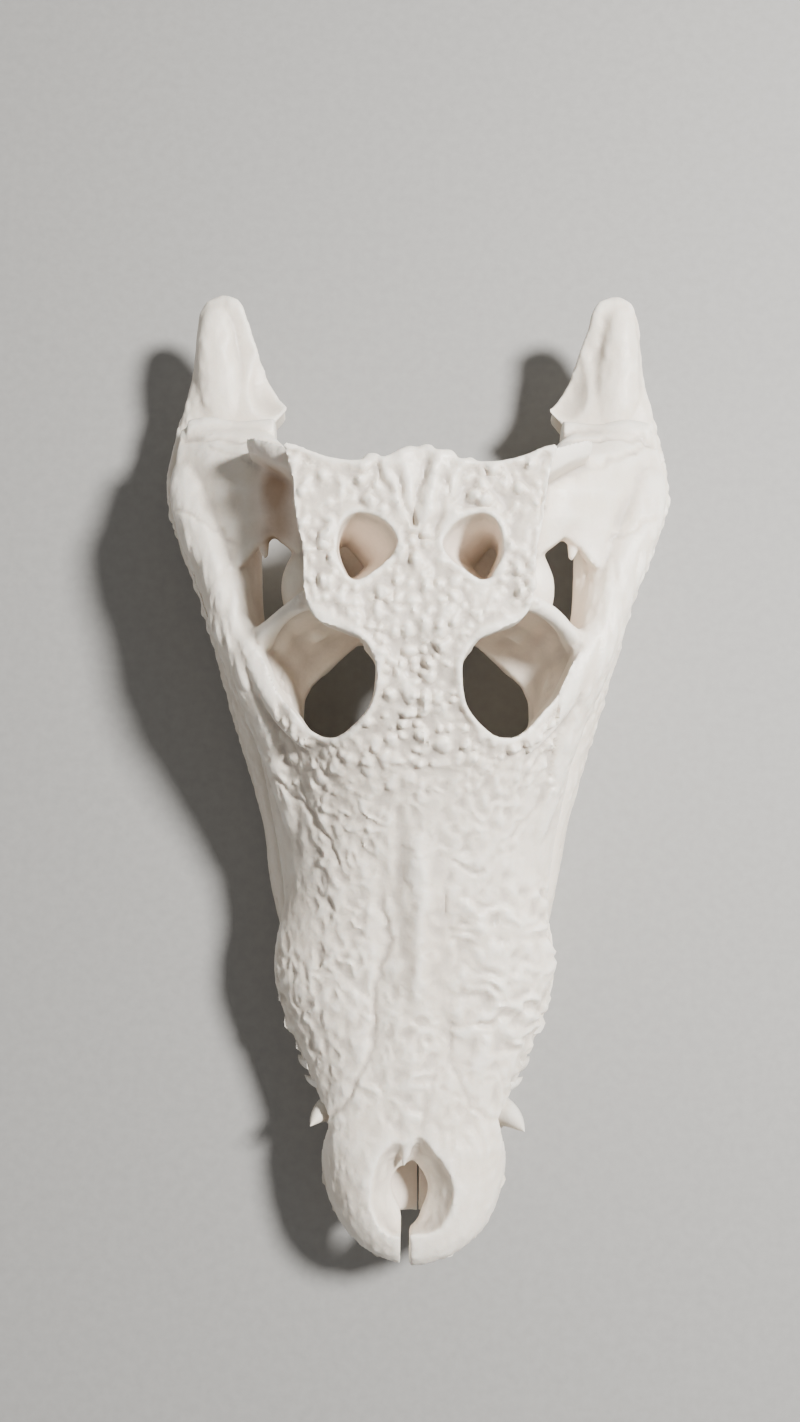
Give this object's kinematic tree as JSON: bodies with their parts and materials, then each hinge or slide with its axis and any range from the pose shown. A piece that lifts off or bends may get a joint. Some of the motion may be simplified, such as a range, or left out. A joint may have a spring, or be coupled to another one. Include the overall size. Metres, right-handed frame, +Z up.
{
  "type": "crocodile skull",
  "caption": "Cleaned crocodile skull with its lower jaw closed: long snout, pitted roof, open orbits and temporal openings, forked rear of the jaw and conical teeth.",
  "frame": {"origin": "middle of the overall box in X and Y, on the surface the skull rests on", "axes": "+Z up, -Y the way the snout points, +Y towards the rear of the jaw, +X the skull's own left (the right-hand side seen from above with the snout towards the viewer)"},
  "size_m": [0.1899, 0.3512, 0.1017],
  "materials": {
    "cranium_bone": "matte, warm white like cleaned bone",
    "mandible_left_bone": "matte, warm white like cleaned bone",
    "mandible_right_bone": "matte, warm white like cleaned bone"
  },
  "bodies": {
    "root": {"cranium": "cranium_bone", "mandible_left": "mandible_left_bone", "mandible_right": "mandible_right_bone"}
  },
  "joints": []
}
